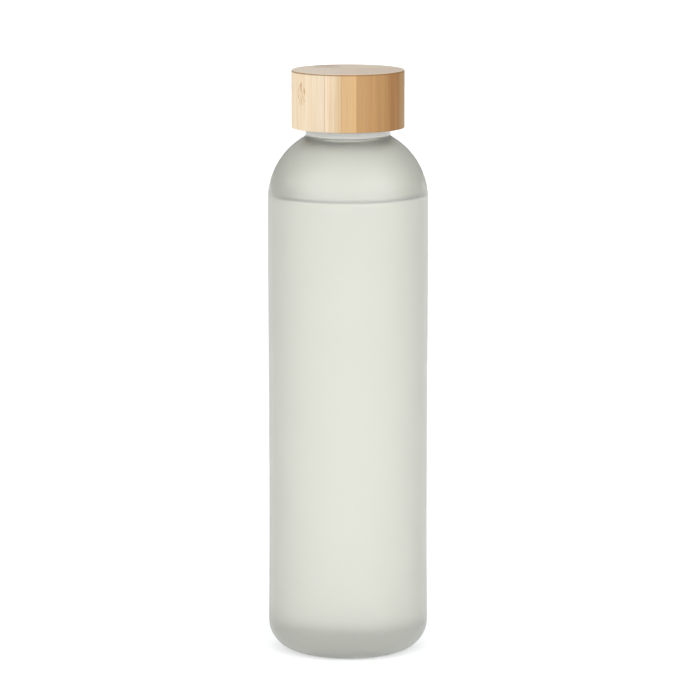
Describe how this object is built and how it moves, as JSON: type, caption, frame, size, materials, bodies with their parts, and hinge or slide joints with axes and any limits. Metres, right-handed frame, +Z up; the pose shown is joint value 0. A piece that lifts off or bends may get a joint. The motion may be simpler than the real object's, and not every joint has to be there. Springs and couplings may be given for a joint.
{
  "type": "glass water bottle",
  "caption": "Frosted glass water bottle: round body with a domed shoulder, short threaded neck and a flat-topped bamboo screw lid.",
  "frame": {"origin": "centre of the ring on which the bottle stands, at table height", "axes": "+Z up along the bottle's axis, towards the lid; the lid's thread starts on +X"},
  "size_m": [0.065, 0.065, 0.2379],
  "materials": {
    "frosted_glass": "frosted outside, smooth inside, pale grey-green",
    "bamboo": "laminated strips, fine sanded and lightly oiled",
    "white_polypropylene": "moulded, satin",
    "clear_silicone": "translucent white, matt"
  },
  "bodies": {
    "bottle": {"glass_bottle": "frosted_glass"},
    "seal": {"sealing_ring": "clear_silicone"},
    "lid": {"bamboo_lid": "bamboo", "threaded_insert": "white_polypropylene"}
  },
  "joints": [
    {"name": "lid_rise", "type": "slide", "parent": "bottle", "child": "seal", "axis": [0, 0, 1], "range_m": [0, 0.02115]},
    {"name": "lid_turn", "type": "hinge", "parent": "seal", "child": "lid", "pos_m": [0, 0, 0.2294], "axis": [0, 0, 1], "range_deg": [0, 1800]}
  ],
  "couplings": [
    {"joint": "lid_rise", "follows": "lid_turn", "m_per_rad": 0.00067322}
  ]
}
